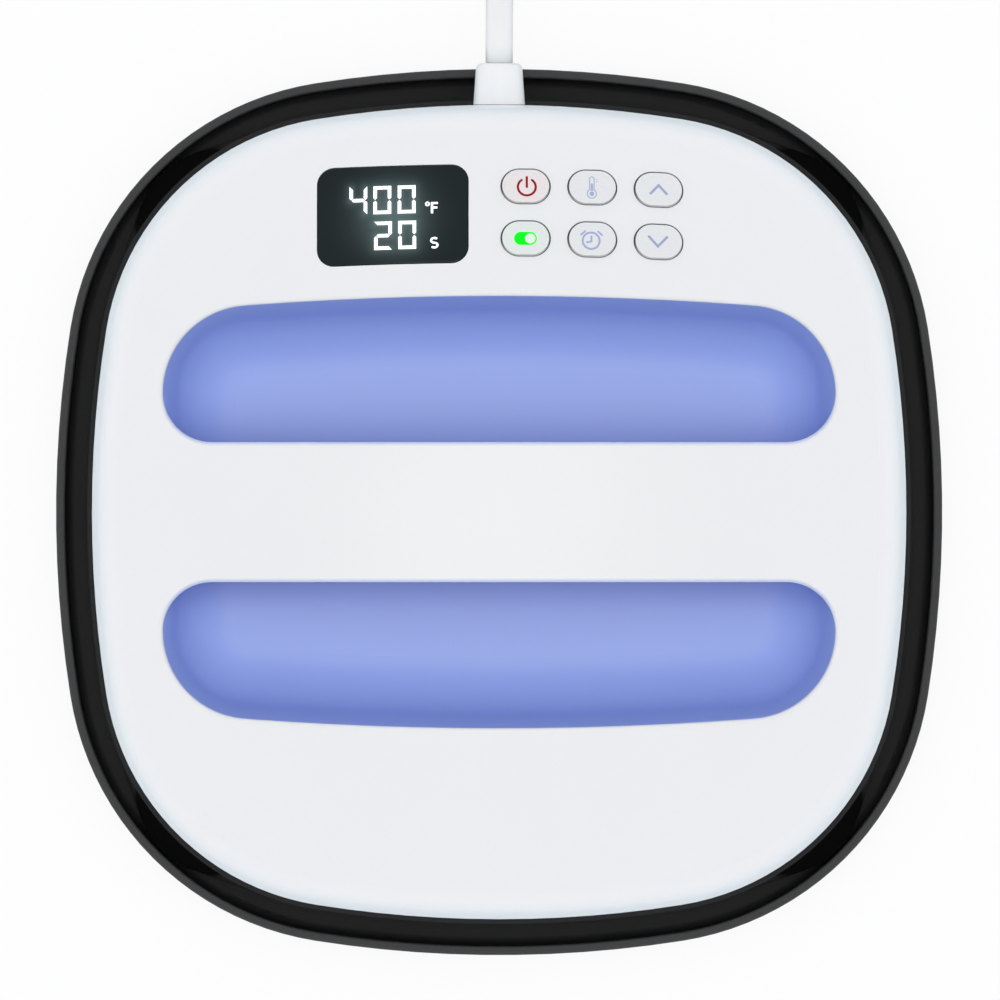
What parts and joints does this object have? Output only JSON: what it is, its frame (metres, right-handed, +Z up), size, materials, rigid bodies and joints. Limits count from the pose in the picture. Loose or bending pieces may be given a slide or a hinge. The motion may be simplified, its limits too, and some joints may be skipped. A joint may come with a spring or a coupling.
{
  "type": "handheld heat press with stand",
  "caption": "Square handheld heat press with two hand wells, a bar grip, display and push keys, standing in its shallow safety tray, with a mains lead.",
  "frame": {"origin": "middle of the plane that the stand's feet rest on", "axes": "+Z up, +Y towards the cord's exit, +X to the right of the keys"},
  "size_m": [0.3098, 0.5613, 0.122],
  "materials": {
    "stand_black": "fine moulded grain",
    "skirt_black": "smooth satin",
    "shell_white": "gloss",
    "key_white": "gloss",
    "lavender": "satin",
    "lens_smoke": "polished",
    "foot_rubber": "matt",
    "mat_silicone": "matt",
    "plate_coated": "non-stick coating",
    "heater_sheath": "oxidised",
    "felt_white": "needled felt",
    "sheet_steel": "mill finish",
    "screw_steel": "zinc plated",
    "bakelite": "moulded",
    "board_green": "solder mask",
    "digit_black": "matt",
    "part_black": "moulded",
    "relay_blue": "moulded",
    "capacitor_yellow": "moulded",
    "core_iron": "laminated",
    "fin_aluminium": "extruded",
    "fuse_glass": "clear",
    "wire_brown": "PVC",
    "wire_grey": "PVC",
    "wire_white": "silicone braid",
    "cord_white": "PVC sheath",
    "tie_white": "nylon",
    "blade_brass": "plain"
  },
  "bodies": {
    "stand": {"stand_tray": "stand_black", "stand_feet": "foot_rubber", "stand_pad": "mat_silicone", "cord_coil": "cord_white", "cable_ties": "tie_white", "plug_body": "cord_white", "plug_pins": "blade_brass"},
    "press": {"heating_plate": "plate_coated", "heating_element": "heater_sheath", "plate_insulation": "felt_white", "heat_shield": "sheet_steel", "plate_spacers": "screw_steel", "plate_screws": "screw_steel", "thermal_cutoff": "bakelite", "temperature_sensor": "fin_aluminium", "sensor_clip": "sheet_steel", "sensor_fixings": "screw_steel", "lower_skirt": "skirt_black", "housing_top": "shell_white", "hand_well_liner": "lavender", "handle_underside": "lavender", "housing_screws": "screw_steel", "liner_screws": "screw_steel", "handle_screws": "screw_steel", "display_lens": "lens_smoke", "digit_display": "digit_black", "display_board": "board_green", "key_board": "board_green", "board_screws": "screw_steel", "tact_switches": "part_black", "buzzer": "part_black", "power_board": "board_green", "power_board_screws": "screw_steel", "transformer": "core_iron", "relay": "relay_blue", "heatsink": "fin_aluminium", "triac": "part_black", "filter_capacitor": "capacitor_yellow", "bulk_capacitor": "part_black", "fuse": "fuse_glass", "tilt_switch": "part_black", "terminal_block": "part_black", "mains_cores": "wire_brown", "supply_leads": "wire_brown", "heater_leads": "wire_white", "ribbon_cable": "wire_grey", "cord_boot": "cord_white", "cord_tail": "cord_white", "cord_clamp": "bakelite", "cord_clamp_screws": "screw_steel", "mains_cord": "cord_white"},
    "key_power": {"button_power": "key_white"},
    "key_temperature": {"button_temperature": "key_white"},
    "key_up": {"button_up": "key_white"},
    "key_mode": {"button_mode": "key_white"},
    "key_timer": {"button_timer": "key_white"},
    "key_down": {"button_down": "key_white"}
  },
  "joints": [
    {"name": "press_lift", "type": "slide", "parent": "stand", "child": "press", "axis": [0, 0, 1], "range_m": [0, 0.06]},
    {"name": "press_power", "type": "slide", "parent": "press", "child": "key_power", "axis": [-0.0888, -0.2846, -0.9545], "range_m": [0, 0.0006], "stiffness_N_per_m": 2500},
    {"name": "press_temperature", "type": "slide", "parent": "press", "child": "key_temperature", "axis": [-0.0888, -0.2846, -0.9545], "range_m": [0, 0.0006], "stiffness_N_per_m": 2500},
    {"name": "press_up", "type": "slide", "parent": "press", "child": "key_up", "axis": [-0.0888, -0.2846, -0.9545], "range_m": [0, 0.0006], "stiffness_N_per_m": 2500},
    {"name": "press_mode", "type": "slide", "parent": "press", "child": "key_mode", "axis": [-0.0888, -0.2846, -0.9545], "range_m": [0, 0.0006], "stiffness_N_per_m": 2500},
    {"name": "press_timer", "type": "slide", "parent": "press", "child": "key_timer", "axis": [-0.0888, -0.2846, -0.9545], "range_m": [0, 0.0006], "stiffness_N_per_m": 2500},
    {"name": "press_down", "type": "slide", "parent": "press", "child": "key_down", "axis": [-0.0888, -0.2846, -0.9545], "range_m": [0, 0.0006], "stiffness_N_per_m": 2500}
  ]
}
